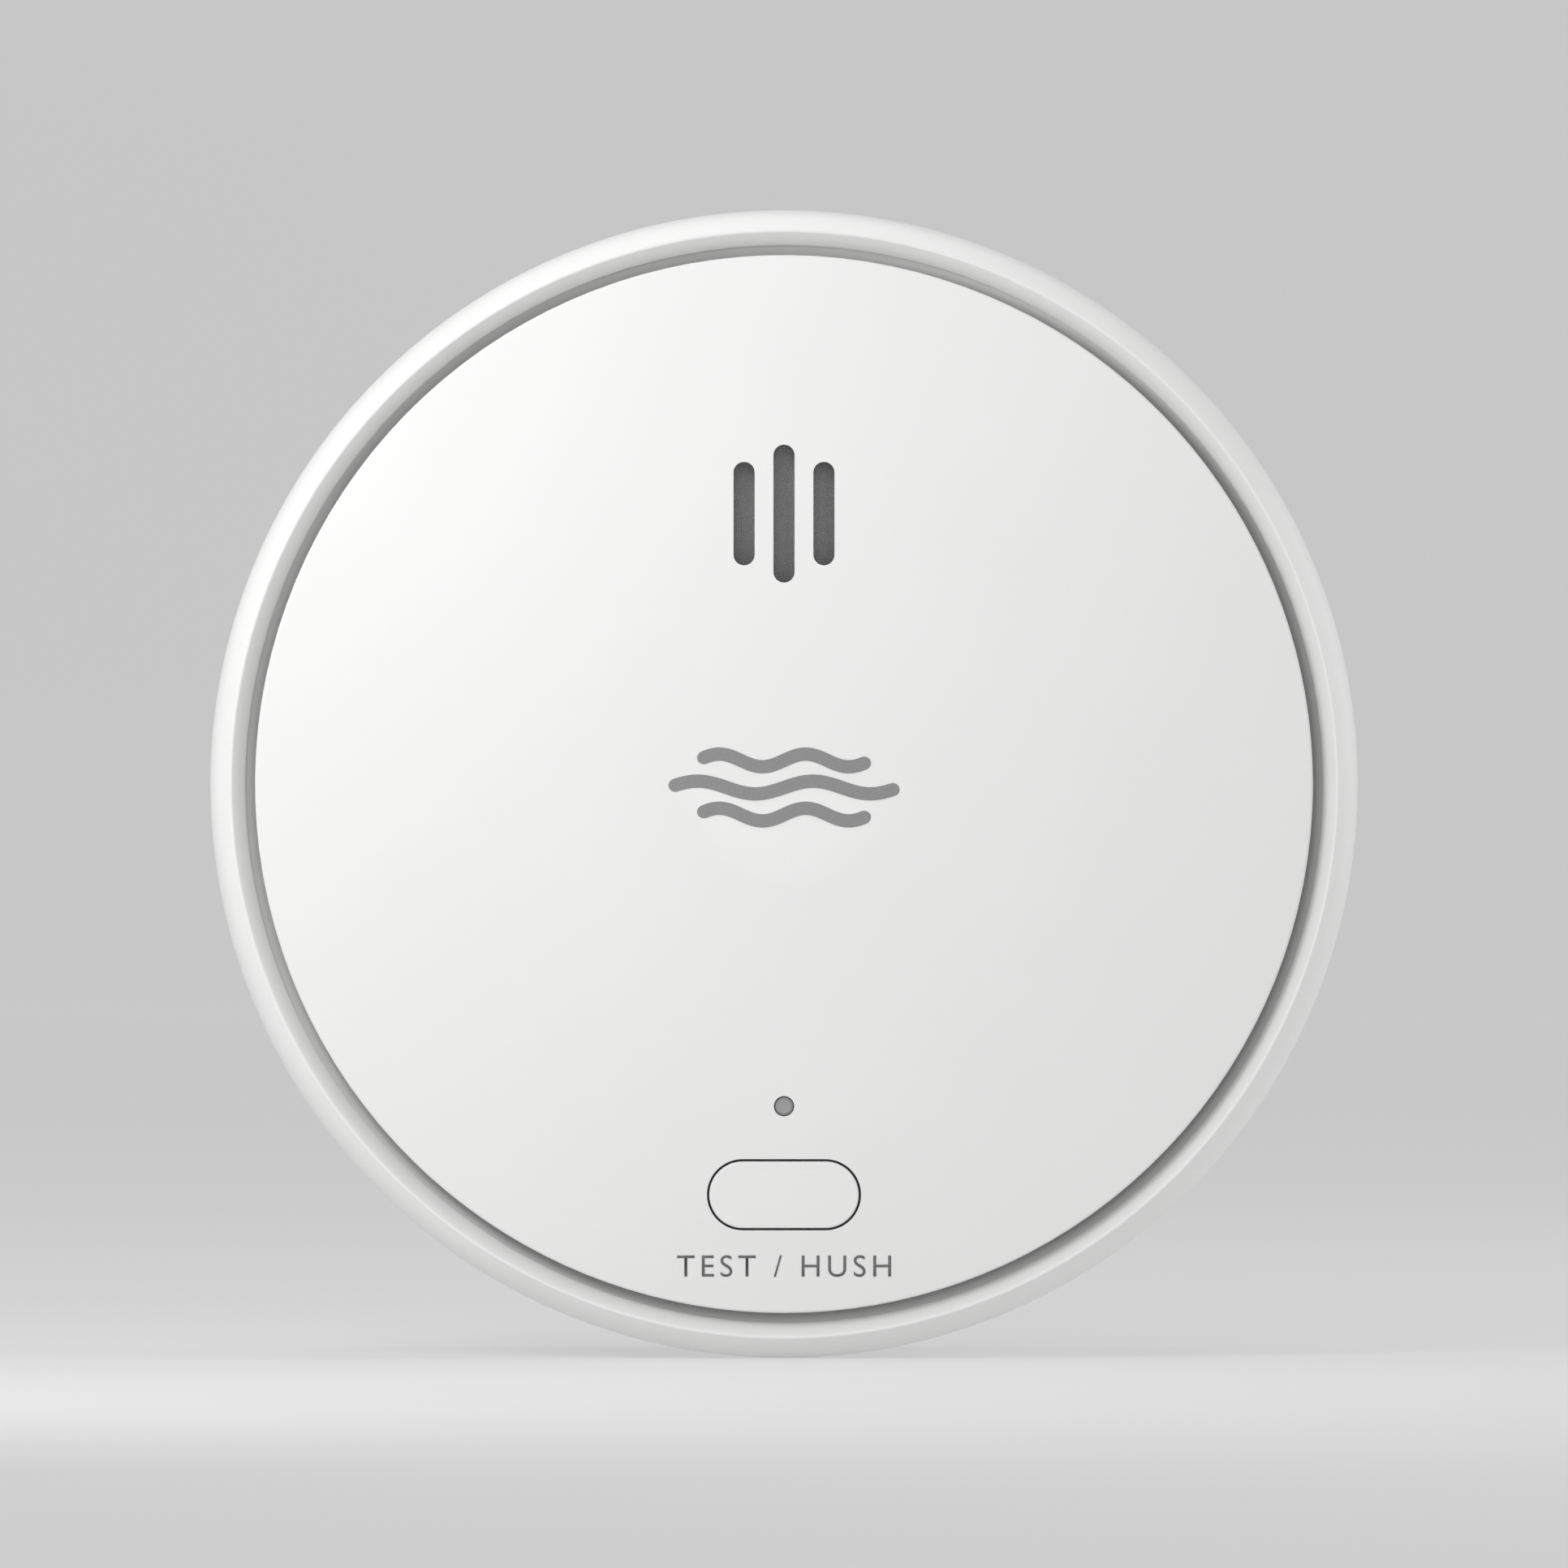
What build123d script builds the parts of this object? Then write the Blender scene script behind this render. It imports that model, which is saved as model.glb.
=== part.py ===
"""Compact battery smoke alarm that twists onto a flat bracket, for a wall or a ceiling.

Millimetres, +Z up. The origin is the centre of the bracket's mounting face and the front looks along -Y.
Places are given as (u, v) across the face, u to the right and v up, and as a height in front of the
mounting face. The alarm is a screwed two-part case with a floating cover disc. Smoke goes in all round
the disc, across the deck below it and through a screen into an optical chamber.
"""

import os
from math import acos, cos, degrees, radians, sin, sqrt

from build123d import *

# ------------------------------------------------------------------ driving dimensions
BODY_R = 50.0  # outside of the case
DEPTH = 36.0  # mounting face to the crown of the cover disc
WALL = 1.7  # case wall

# heights of the main faces in front of the mounting face
PLATE_T = 2.0  # bracket plate
SKIRT_START = 0.8  # the case stands this far off the wall
FLOOR = 7.0  # back of the rear housing's floor
FLOOR_T = 1.8
SPLIT = 13.0  # joint line between the two housings
BOARD = 17.0  # back of the circuit board
BOARD_T = 1.6
DECK = 28.6  # front of the deck under the cover disc
DECK_T = 1.6

# rim, smoke gap and cover disc
SHOULDER = 4.0  # radius of the rounded rim
CREST = 35.0  # front edge of the rim
CREST_R = 48.1
GAP_R = 46.9  # foot of the rim's bevel
GAP_DEPTH = 1.6
GAP_WALL = 0.4  # straight drop below the bevel, so that the gap reads as a line of its own
THROAT_R = 44.9  # foot of the funnel under the disc's edge
COVER_R = 46.0
COVER_T = 1.8
COVER_EDGE_T = 1.2
DOME_RISE = 1.2
EDGE_BREAK = 0.2
SEAM = 0.3  # chamfer on both sides of the joint line

# places on the face
SOUND_AT = (0.0, 23.5)
CHAMBER_AT = (0.0, -8.5)
LIGHT_AT = (0.0, -28.0)
BUTTON_AT = (0.0, -35.7)
PLUG_AT = (-18.5, 7.0)
BATTERY_U = -32.0
BATTERY_H = 17.6  # height of the battery's axis

# bayonet and the pin that switches the alarm on as it twists home
LUG_ANGLES = [45, 135, 225, 315]
LUG_HALF = 10.0
HOOK_HALF = 8.0
STOP_GAP = 0.4
RELEASE = 20.0  # twist from locked to free
PIN_R, PIN_ANGLE = 40.5, -40.0
PIN_TRAVEL = 2.0
SWITCH_R = 34.0

FLOOR_TOP = FLOOR + FLOOR_T
BOARD_TOP = BOARD + BOARD_T
DECK_BACK = DECK - DECK_T
CASE_IN_R = BODY_R - WALL
DOME_R = (COVER_R**2 + DOME_RISE**2) / (2 * DOME_RISE)

os.makedirs("parts", exist_ok=True)


# ------------------------------------------------------------------ helpers
def level(height):
    """Plane parallel to the mounting face, height in front of it."""
    return Plane(origin=(0, -height, 0), x_dir=(1, 0, 0), z_dir=(0, -1, 0))


def section(place=(0.0, 0.0)):
    """Half-section plane through a front-to-back axis: x is the radius and y the height."""
    return Plane(origin=(place[0], 0, place[1]), x_dir=(1, 0, 0), z_dir=(0, 0, -1))


def spin(place=(0.0, 0.0)):
    """The front-to-back axis through a place on the face."""
    return Axis((place[0], 0, place[1]), (0, -1, 0))


def polar(radius, angle, centre=(0.0, 0.0)):
    """The place at a radius and an angle from a centre."""
    return (
        centre[0] + radius * cos(radians(angle)),
        centre[1] + radius * sin(radians(angle)),
    )


def at(place, height):
    """The 3-D point at a place on the face and a height."""
    return (place[0], -height, place[1])


def tangent_view(radius, angle, centre=(0.0, 0.0), height=0.0):
    """Plane square to a radius: x runs with the angle, y is the height and z points outwards."""
    turn = radians(angle)
    return Plane(
        origin=at(polar(radius, angle, centre), height),
        x_dir=(-sin(turn), 0, cos(turn)),
        z_dir=(cos(turn), 0, sin(turn)),
    )


def crown(radius):
    """Height of the cover disc's front at a radius from the middle."""
    return DEPTH - (DOME_R - sqrt(DOME_R**2 - radius**2))


def ring_sector(inner, outer, start, stop):
    """Adds a sector of a flat ring to the sketch being built."""
    with BuildLine() as outline:
        inside = CenterArc((0, 0), inner, start, stop - start)
        outside = CenterArc((0, 0), outer, start, stop - start)
        Line(inside @ 0, outside @ 0)
        Line(inside @ 1, outside @ 1)
    make_face(outline.edges())


def tube(place, inner, outer, low, high):
    """Adds a tube, or a post where inner is 0, to the part being built."""
    with BuildSketch(level(low)) as profile:
        with Locations(place):
            Circle(outer)
            if inner:
                Circle(inner, mode=Mode.SUBTRACT)
    extrude(profile.sketch, amount=high - low)


def bore(place, radius, low, high):
    """Cuts a round hole in the part being built."""
    with BuildSketch(level(low)) as profile:
        with Locations(place):
            Circle(radius)
    extrude(profile.sketch, amount=high - low, mode=Mode.SUBTRACT)


def block(place, size, low, high, turn=0.0, mode=Mode.ADD):
    """Adds a rectangular block to the part being built, or cuts it out."""
    with BuildSketch(level(low)) as profile:
        with Locations(place):
            Rectangle(*size, rotation=turn)
    extrude(profile.sketch, amount=high - low, mode=mode)


def pill(place, size, low, high, mode=Mode.ADD):
    """Adds a round-ended block to the part being built, or cuts it out."""
    with BuildSketch(level(low)) as profile:
        with Locations(place):
            SlotOverall(*size)
    extrude(profile.sketch, amount=high - low, mode=mode)


def turned(place, points):
    """Adds the solid of revolution of a (radius, height) outline to the part being built."""
    with BuildSketch(section(place)) as profile:
        with BuildLine():
            Polyline(*points, close=True)
        make_face()
    revolve(profile.sketch, axis=spin(place))


def off_axis(edge):
    """Distance of an edge's middle from the alarm's axis."""
    middle = edge.center()
    return sqrt(middle.X**2 + middle.Z**2)


def front_edges(part, height):
    """Edges of a part that lie at a height."""
    boxes = [(edge, edge.bounding_box()) for edge in part.edges()]
    return [edge for edge, box in boxes if abs(box.min.Y + height) < 0.01 and abs(box.size.Y) < 0.01]


def finish(piece, label):
    """Names a finished piece and writes its STEP file."""
    piece.part.label = label
    export_step(piece.part, f"parts/{label}.step")


# ------------------------------------------------------------------ wall bracket
BRACKET_R = 47.4
WINDOW_R = 37.5  # outside of the four windows between the spokes
SPOKE_W = 17.0
SLOT_SPACING, SLOT_LENGTH, SLOT_W = 60.0, 10.0, 4.4
PAD_LENGTH, PAD_W, PAD_T = 15.0, 9.0, 0.8
RING_IN_R, RING_R, RING_TOP = 43.6, 45.0, 6.6
LUG_R, LUG_T = 46.8, 1.5
LUG_LOW = RING_TOP - LUG_T
PIN_TIP = 5.2  # height of the pin's tip while the alarm is locked
PIN_SHAFT_R = 1.5
RAMP_TOP = PIN_TIP - 0.08
RAMP_HALF = PIN_R * sin(radians(RELEASE / 2))
RAMP_W, RAMP_END = 4.4, 2.4
WEB_T = 1.2

with BuildPart() as wall_bracket:
    with BuildSketch(level(0)):
        Circle(BRACKET_R)
        Circle(WINDOW_R, mode=Mode.SUBTRACT)
        Rectangle(2 * WINDOW_R + 1, SPOKE_W)
        Rectangle(SPOKE_W, 2 * WINDOW_R + 1)
        Circle(14.0)
    extrude(amount=PLATE_T)
    window_corners = [e for e in wall_bracket.edges().filter_by(Axis.Y) if off_axis(e) < WINDOW_R + 1]
    fillet(window_corners, 2.5)
    # raised pads under the screw heads, and a dished boss that marks the middle
    with BuildSketch(level(PLATE_T)):
        with PolarLocations(SLOT_SPACING / 2, 4):
            SlotOverall(PAD_LENGTH, PAD_W)
        Circle(8.4)
    extrude(amount=PAD_T)
    bore((0, 0), 7.0, PLATE_T - 0.6, PLATE_T + PAD_T)
    with BuildSketch(level(0)):
        with PolarLocations(SLOT_SPACING / 2, 4):
            SlotOverall(SLOT_LENGTH, SLOT_W)
    extrude(amount=PLATE_T + PAD_T, mode=Mode.SUBTRACT)
    # ring that carries the bayonet lugs, each over its own mould opening and ended by a stop
    tube((0, 0), RING_IN_R, RING_R, PLATE_T, RING_TOP)
    for angle in LUG_ANGLES:
        with BuildSketch(level(LUG_LOW)):
            ring_sector(RING_R - 0.4, LUG_R, angle - LUG_HALF, angle + LUG_HALF)
        extrude(amount=LUG_T)
        with BuildSketch(level(PLATE_T)):
            ring_sector(RING_R - 0.4, LUG_R, angle - LUG_HALF, angle - HOOK_HALF - STOP_GAP)
        extrude(amount=LUG_LOW - PLATE_T)
        with BuildSketch(level(0)):
            ring_sector(RING_R + 0.3, LUG_R, angle - HOOK_HALF, angle + LUG_HALF)
        extrude(amount=PLATE_T, mode=Mode.SUBTRACT)
    # webs that stiffen the ring between the lugs
    for angle in range(0, 360, 30):
        if angle not in (300, 330):
            with BuildSketch(tangent_view(WINDOW_R + 1, angle)):
                with Locations((0, PLATE_T)):
                    Rectangle(WEB_T, 1.6, align=(Align.CENTER, Align.MIN))
            extrude(amount=RING_IN_R - WINDOW_R - 0.6)
    # ramp that lifts the alarm's pin over the twist
    with BuildSketch(tangent_view(PIN_R, PIN_ANGLE + RELEASE / 2)):
        with BuildLine():
            Polyline(
                (-RAMP_HALF - RAMP_END, PLATE_T - 0.5),
                (-RAMP_HALF - RAMP_END, RAMP_TOP),
                (-RAMP_HALF, RAMP_TOP),
                (RAMP_HALF, RAMP_TOP - PIN_TRAVEL),
                (RAMP_HALF + RAMP_END, RAMP_TOP - PIN_TRAVEL),
                (RAMP_HALF + RAMP_END, PLATE_T - 0.5),
                close=True,
            )
        make_face()
    extrude(amount=RAMP_W / 2, both=True)
finish(wall_bracket, "wall_bracket")

# ------------------------------------------------------------------ rear housing
HOOK_TIP_R, HOOK_T = 45.5, 1.5
HOOK_LOW = LUG_LOW - 0.3 - HOOK_T
LIP_IN_R, LIP_R, LIP_TOP = 46.9, 48.15, 15.0
SCREW_R, SCREW_ANGLES = 43.0, [50, 130, 230, 310]
SCREW_SEAT = 10.2
BOARD_POSTS = [(39.0, 0.0), (-17.0, 31.0), (-17.0, -31.0)]
CELL_R, CELL_LENGTH = 8.35, 34.5
SLEEVE_R = 8.5
PIN_AT = polar(PIN_R, PIN_ANGLE)
GUIDE_LOW, GUIDE_TOP, GUIDE_R = 5.9, 9.4, 2.7
PIN_BORE_R = PIN_SHAFT_R + 0.08
LABEL_R, LABEL_T = 26.0, 0.12


def battery_view(v):
    """Plane across the battery at a place up the face."""
    return Plane(origin=(BATTERY_U, -BATTERY_H, v), x_dir=(1, 0, 0), z_dir=(0, 0, 1))


with BuildPart() as rear_housing:
    tube((0, 0), CASE_IN_R, BODY_R, SKIRT_START, SPLIT)
    bottom_edges = [e for e in front_edges(rear_housing, SKIRT_START) if off_axis(e) > 49]
    fillet(bottom_edges, 0.6)
    seam_edges = [e for e in front_edges(rear_housing, SPLIT) if off_axis(e) > 49]
    chamfer(seam_edges, SEAM)
    tube((0, 0), 0, CASE_IN_R + 0.2, FLOOR, FLOOR_TOP)
    tube((0, 0), LIP_IN_R, LIP_R, FLOOR_TOP, LIP_TOP)
    tube((0, 0), LIP_R - 0.2, CASE_IN_R + 0.2, FLOOR_TOP, SPLIT - 0.8)
    for angle in LUG_ANGLES:
        with BuildSketch(level(HOOK_LOW)):
            ring_sector(HOOK_TIP_R, CASE_IN_R + 0.4, angle - HOOK_HALF, angle + HOOK_HALF)
        extrude(amount=HOOK_T)
    # grip grooves round the skirt, to twist the alarm by
    with BuildSketch(level(SKIRT_START)):
        with PolarLocations(BODY_R + 0.45, 60):
            Circle(0.8)
    extrude(amount=5.2, mode=Mode.SUBTRACT)
    # screw posts, counterbored from the back
    for angle in SCREW_ANGLES:
        place = polar(SCREW_R, angle)
        tube(place, 0, 4.0, FLOOR, SPLIT - 0.1)
        bore(place, 1.4, FLOOR, SPLIT)
        bore(place, 2.8, FLOOR, SCREW_SEAT)
    for place in BOARD_POSTS:
        tube(place, 0, 3.0, FLOOR, BOARD)
        bore(place, 0.95, 10.5, BOARD)
    # battery cradle: two saddles between two end walls
    for v in (-11.0, 11.0):
        block((BATTERY_U, v), (18.0, 1.6), FLOOR, 13.6)
    with BuildSketch(battery_view(-18)):
        Circle(SLEEVE_R + 0.1)
    extrude(amount=36, mode=Mode.SUBTRACT)
    for v in (-20.2, 20.2):
        block((BATTERY_U, v), (13.0, 1.4), FLOOR, 19.0)
    # guide for the activation pin
    tube(PIN_AT, 0, GUIDE_R, GUIDE_LOW, GUIDE_TOP)
    bore(PIN_AT, PIN_BORE_R, GUIDE_LOW, GUIDE_TOP)
    # stiffening ribs under the board
    for u in (0.0, 20.0):
        block((u, 0), (1.2, 34.0), FLOOR, 12.0)
    block((10.0, 0), (20.0, 1.2), FLOOR, 12.0)
    bore((0, 0), LABEL_R + 0.3, FLOOR, FLOOR + LABEL_T + 0.05)
finish(rear_housing, "rear_housing")

with BuildPart() as rear_label:
    tube((0, 0), 0, LABEL_R, FLOOR + 0.05, FLOOR + 0.05 + LABEL_T)
finish(rear_label, "rear_label")

# ------------------------------------------------------------------ front housing
SHOULDER_MID_R = BODY_R - SHOULDER
SHOULDER_TURN = degrees(acos((CREST_R - SHOULDER_MID_R) / SHOULDER))
SHOULDER_LOW = CREST - SHOULDER * sin(radians(SHOULDER_TURN))
FUNNEL_HIGH = CREST - GAP_DEPTH - GAP_WALL
FUNNEL_LOW = FUNNEL_HIGH - (GAP_R - THROAT_R)
POCKET_R, POCKET_TOP = 46.5, 30.4
CHAMBER_HOLE_R = 15.9
COLLAR_IN_R, COLLAR_R, COLLAR_TOP = 7.6, 9.6, 33.1
MESH_R, MESH_LOW, MESH_T = 8.6, 32.5, 0.3
PORT_R = 3.5
WELL = (16.0, 8.8)
WELL_TOP = 32.4
WELL_WALL = 1.2
STEM_R = 2.0
LIGHT_TUBE_R, LIGHT_BORE_R = 2.3, 1.4
LIGHT_TUBE_TOP = 30.5
DISC_PINS = [polar(38.0, angle) for angle in (25, 90, 155, 205, 335)]
SOCKET_R, SOCKET_BORE_R, SOCKET_TOP = 2.9, 1.65, 32.0
BOSS_R = 3.0

with BuildPart() as front_housing:
    with BuildSketch(section()):
        with BuildLine():
            Polyline(
                (CASE_IN_R, SPLIT),
                (BODY_R - SEAM, SPLIT),
                (BODY_R, SPLIT + SEAM),
                (BODY_R, SHOULDER_LOW),
            )
            shoulder = CenterArc((SHOULDER_MID_R, SHOULDER_LOW), SHOULDER, 0, SHOULDER_TURN)
            Polyline(
                shoulder @ 1,
                (GAP_R, CREST - GAP_DEPTH),
                (GAP_R, FUNNEL_HIGH),
                (THROAT_R, FUNNEL_LOW),
                (THROAT_R, DECK),
                (0, DECK),
                (0, DECK_BACK),
                (POCKET_R, DECK_BACK),
                (POCKET_R, POCKET_TOP),
                (CASE_IN_R, POCKET_TOP),
                (CASE_IN_R, SPLIT),
            )
        make_face()
    revolve(axis=spin())
    fillet(front_edges(front_housing, CREST), EDGE_BREAK)
    # fins that steady the air on its way in, and sockets for the cover disc's pins
    for angle in range(10, 370, 20):
        if abs(angle - 270) > 25:
            with BuildSketch(tangent_view(36.0, angle)):
                with Locations((0, DECK - 0.4)):
                    Rectangle(1.0, 3.4, align=(Align.CENTER, Align.MIN))
            extrude(amount=THROAT_R - 35.8)
    for place in DISC_PINS:
        tube(place, 0, SOCKET_R, DECK - 0.2, SOCKET_TOP)
        bore(place, SOCKET_BORE_R, DECK + 0.2, SOCKET_TOP)
    tube(SOUND_AT, 0, COLLAR_R, DECK - 0.2, COLLAR_TOP)
    bore(SOUND_AT, COLLAR_IN_R, DECK, COLLAR_TOP)
    bore(SOUND_AT, MESH_R + 0.05, MESH_LOW, COLLAR_TOP)
    bore(SOUND_AT, PORT_R, DECK_BACK, DECK)
    bore(CHAMBER_AT, CHAMBER_HOLE_R, DECK_BACK, DECK + 4)
    # light pipe tube and button well
    tube(LIGHT_AT, 0, LIGHT_TUBE_R, 23.0, LIGHT_TUBE_TOP)
    pill(BUTTON_AT, (WELL[0] + 2 * WELL_WALL, WELL[1] + 2 * WELL_WALL), DECK - 0.2, WELL_TOP)
    pill(BUTTON_AT, WELL, DECK, WELL_TOP, mode=Mode.SUBTRACT)
    bore(LIGHT_AT, LIGHT_BORE_R, 23.0, WELL_TOP)
    bore(BUTTON_AT, STEM_R + 0.4, DECK_BACK, DECK)
    # screw bosses that come down to the rear housing's posts
    for angle in SCREW_ANGLES:
        place = polar(SCREW_R, angle)
        tube(place, 0, BOSS_R, SPLIT, DECK_BACK + 0.2)
        bore(place, 1.15, SPLIT, DECK_BACK - 1.5)
finish(front_housing, "front_housing")

# ------------------------------------------------------------------ cover disc
SLOT_W_SOUND, SLOT_PITCH = 1.84, 3.47
SLOT_LENGTHS = {-SLOT_PITCH: 9.0, 0.0: 12.0, SLOT_PITCH: 9.0}
LIGHT_HOLE_R = 0.88
OPENING = (13.4, 6.2)
STOP_LOW = 32.1
PIN_LENGTH_TO = 29.4

with BuildPart() as cover_disc:
    with BuildSketch(section()):
        with BuildLine():
            front = ThreePointArc(
                (0, DEPTH),
                (COVER_R / 2, crown(COVER_R / 2)),
                (COVER_R, crown(COVER_R)),
            )
            Polyline(
                front @ 1,
                (COVER_R, crown(COVER_R) - COVER_EDGE_T),
                (COVER_R - 1.5, crown(COVER_R) - COVER_T),
            )
            ThreePointArc(
                (COVER_R - 1.5, crown(COVER_R) - COVER_T),
                (COVER_R / 2, crown(COVER_R / 2) - COVER_T),
                (0, DEPTH - COVER_T),
            )
            Line((0, DEPTH - COVER_T), (0, DEPTH))
        make_face()
    revolve(axis=spin())
    fillet(front_edges(cover_disc, crown(COVER_R)), EDGE_BREAK)
    for place in DISC_PINS:
        tube(place, 0, 1.6, PIN_LENGTH_TO, DEPTH - COVER_T - 0.5)
        tube(place, 0, 2.6, SOCKET_TOP, DEPTH - COVER_T - 0.5)
    pill(BUTTON_AT, (OPENING[0] + 2.0, OPENING[1] + 2.0), STOP_LOW, DEPTH - COVER_T - 0.5)
    pill(BUTTON_AT, OPENING, STOP_LOW, DEPTH, mode=Mode.SUBTRACT)
    for u, length in SLOT_LENGTHS.items():
        with BuildSketch(level(DEPTH - COVER_T - 2)):
            with Locations((u, SOUND_AT[1])):
                SlotOverall(length, SLOT_W_SOUND, rotation=90)
        extrude(amount=COVER_T + 2, mode=Mode.SUBTRACT)
    bore(LIGHT_AT, LIGHT_HOLE_R, DEPTH - COVER_T - 2, DEPTH)
finish(cover_disc, "cover_disc")

# ------------------------------------------------------------------ test button, light pipe and mesh
CAP = (13.0, 5.8)
CAP_FRONT = 35.32
FLANGE = (15.4, 8.2)
FLANGE_LOW, FLANGE_TOP = 31.0, 31.8
SWITCH_TIP = 23.5

with BuildPart() as test_button:
    pill(BUTTON_AT, CAP, FLANGE_LOW, CAP_FRONT)
    fillet(front_edges(test_button, CAP_FRONT), 0.15)
    pill(BUTTON_AT, FLANGE, FLANGE_LOW, FLANGE_TOP)
    tube(BUTTON_AT, 0, STEM_R, SWITCH_TIP, FLANGE_LOW)
finish(test_button, "test_button")

with BuildPart() as light_pipe:
    turned(
        LIGHT_AT,
        [
            (0, 19.6),
            (1.3, 19.6),
            (1.3, LIGHT_TUBE_TOP),
            (1.9, LIGHT_TUBE_TOP),
            (1.9, LIGHT_TUBE_TOP + 0.7),
            (1.3, LIGHT_TUBE_TOP + 0.7),
            (0.80, 32.4),
            (0.80, 35.35),
            (0.6, 35.5),
            (0, 35.5),
        ],
    )
finish(light_pipe, "light_pipe")

with BuildPart() as acoustic_mesh:
    tube(SOUND_AT, 0, MESH_R, MESH_LOW, MESH_LOW + MESH_T)
finish(acoustic_mesh, "acoustic_mesh")

# ------------------------------------------------------------------ sounder
CUP_R, CUP_WALL = 15.2, 1.2
CUP_LOW, PLATE_SEAT, CUP_TOP = 19.2, 22.0, 26.2
PIEZO_R, PIEZO_T = 13.5, 0.2
CERAMIC_R, CERAMIC_T = 9.5, 0.15
CONTACTS = [polar(6.0, 20, SOUND_AT), polar(6.0, 200, SOUND_AT), polar(11.2, 110, SOUND_AT)]

with BuildPart() as sounder_cup:
    turned(
        SOUND_AT,
        [
            (0, CUP_LOW),
            (CUP_R, CUP_LOW),
            (CUP_R, CUP_TOP),
            (CUP_R - CUP_WALL, CUP_TOP),
            (CUP_R - CUP_WALL, PLATE_SEAT),
            (12.2, PLATE_SEAT),
            (12.2, CUP_LOW + 1),
            (0, CUP_LOW + 1),
        ],
    )
    for angle in (60, 180, 300):
        tube(polar(13.0, angle, SOUND_AT), 0, 1.2, BOARD_TOP, CUP_LOW + 0.5)
    for place in CONTACTS:
        bore(place, 0.9, CUP_LOW, CUP_LOW + 1)
finish(sounder_cup, "sounder_cup")

with BuildPart() as piezo_plate:
    tube(SOUND_AT, 0, PIEZO_R, PLATE_SEAT, PLATE_SEAT + PIEZO_T)
finish(piezo_plate, "piezo_plate")

with BuildPart() as piezo_ceramic:
    tube(SOUND_AT, 0, CERAMIC_R, PLATE_SEAT - CERAMIC_T, PLATE_SEAT)
finish(piezo_ceramic, "piezo_ceramic")

with BuildPart() as sounder_clamp_ring:
    tube(SOUND_AT, 12.3, CUP_R - CUP_WALL - 0.05, PLATE_SEAT + PIEZO_T, CUP_TOP)
finish(sounder_clamp_ring, "sounder_clamp_ring")

with BuildPart() as sounder_gasket:
    tube(SOUND_AT, 12.4, CUP_R, CUP_TOP, DECK_BACK)
finish(sounder_gasket, "sounder_gasket")

with BuildPart() as sounder_contacts:
    for place in CONTACTS:
        is_rim = place == CONTACTS[2]
        touch = PLATE_SEAT if is_rim else PLATE_SEAT - CERAMIC_T
        tube(place, 0, 0.8, BOARD_TOP, BOARD_TOP + 1.0)
        tube(place, 0, 0.4, BOARD_TOP + 1.0, touch)
finish(sounder_contacts, "sounder_contacts")

# ------------------------------------------------------------------ optical smoke chamber
CHAMBER_R = 15.4
CHAMBER_FLOOR, VANE_TOP, CAP_LOW, CAP_TOP = 20.2, 31.4, 31.5, 32.9
SCREEN_IN_R, SCREEN_R = 14.9, 15.3
OPTIC_H = 24.0
EMITTER_ANGLE, RECEIVER_ANGLE = 215.0, -35.0
EMITTER_AT = polar(9.6, EMITTER_ANGLE, CHAMBER_AT)
LEG_ROW = polar(11.2, EMITTER_ANGLE, CHAMBER_AT)
EMITTER_LEGS = [polar(1.27, EMITTER_ANGLE + side, LEG_ROW) for side in (-90, 90)]
RECEIVER_AT = polar(9.2, RECEIVER_ANGLE, CHAMBER_AT)

with BuildPart() as chamber_base:
    tube(CHAMBER_AT, 0, CHAMBER_R, BOARD_TOP, CHAMBER_FLOOR)
    with BuildSketch(level(CHAMBER_FLOOR)):
        with Locations(CHAMBER_AT):
            with PolarLocations(12.6, 16):
                Rectangle(3.8, 0.9, rotation=52)
    extrude(amount=VANE_TOP - CHAMBER_FLOOR)
    # holder for the emitter and a shelf for the receiver
    block(EMITTER_AT, (6.4, 6.0), CHAMBER_FLOOR, VANE_TOP, EMITTER_ANGLE, Mode.SUBTRACT)
    block(RECEIVER_AT, (5.8, 6.4), CHAMBER_FLOOR, VANE_TOP, RECEIVER_ANGLE, Mode.SUBTRACT)
    block(EMITTER_AT, (5.6, 5.2), CHAMBER_FLOOR, OPTIC_H + 2.6, EMITTER_ANGLE)
    with BuildSketch(tangent_view(4.0, EMITTER_ANGLE, CHAMBER_AT, OPTIC_H)):
        Circle(2.0)
    extrude(amount=9.5, mode=Mode.SUBTRACT)
    block(RECEIVER_AT, (3.0, 3.6), CHAMBER_FLOOR, OPTIC_H - 2.2, RECEIVER_ANGLE)
    for leg in EMITTER_LEGS:
        bore(leg, 0.35, BOARD_TOP, OPTIC_H)
finish(chamber_base, "chamber_base")

with BuildPart() as insect_screen:
    tube(CHAMBER_AT, SCREEN_IN_R, SCREEN_R, CHAMBER_FLOOR, CAP_LOW)
    with BuildSketch(level(CHAMBER_FLOOR + 1)):
        with Locations(CHAMBER_AT):
            with PolarLocations(SCREEN_R, 60):
                Rectangle(2.0, 0.9)
    extrude(amount=CAP_LOW - CHAMBER_FLOOR - 1.6, mode=Mode.SUBTRACT)
    for height in (23.6, 26.2, 28.8):
        tube(CHAMBER_AT, SCREEN_IN_R, SCREEN_R, height, height + 0.3)
finish(insect_screen, "insect_screen")

with BuildPart() as chamber_cap:
    tube(CHAMBER_AT, 0, CHAMBER_R, CAP_LOW, CAP_TOP)
    fillet(front_edges(chamber_cap, CAP_TOP), 0.4)
    for radius in (3.0, 5.5, 8.0):
        tube(CHAMBER_AT, radius, radius + 0.8, CAP_LOW - 0.6, CAP_LOW)
finish(chamber_cap, "chamber_cap")

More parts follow.
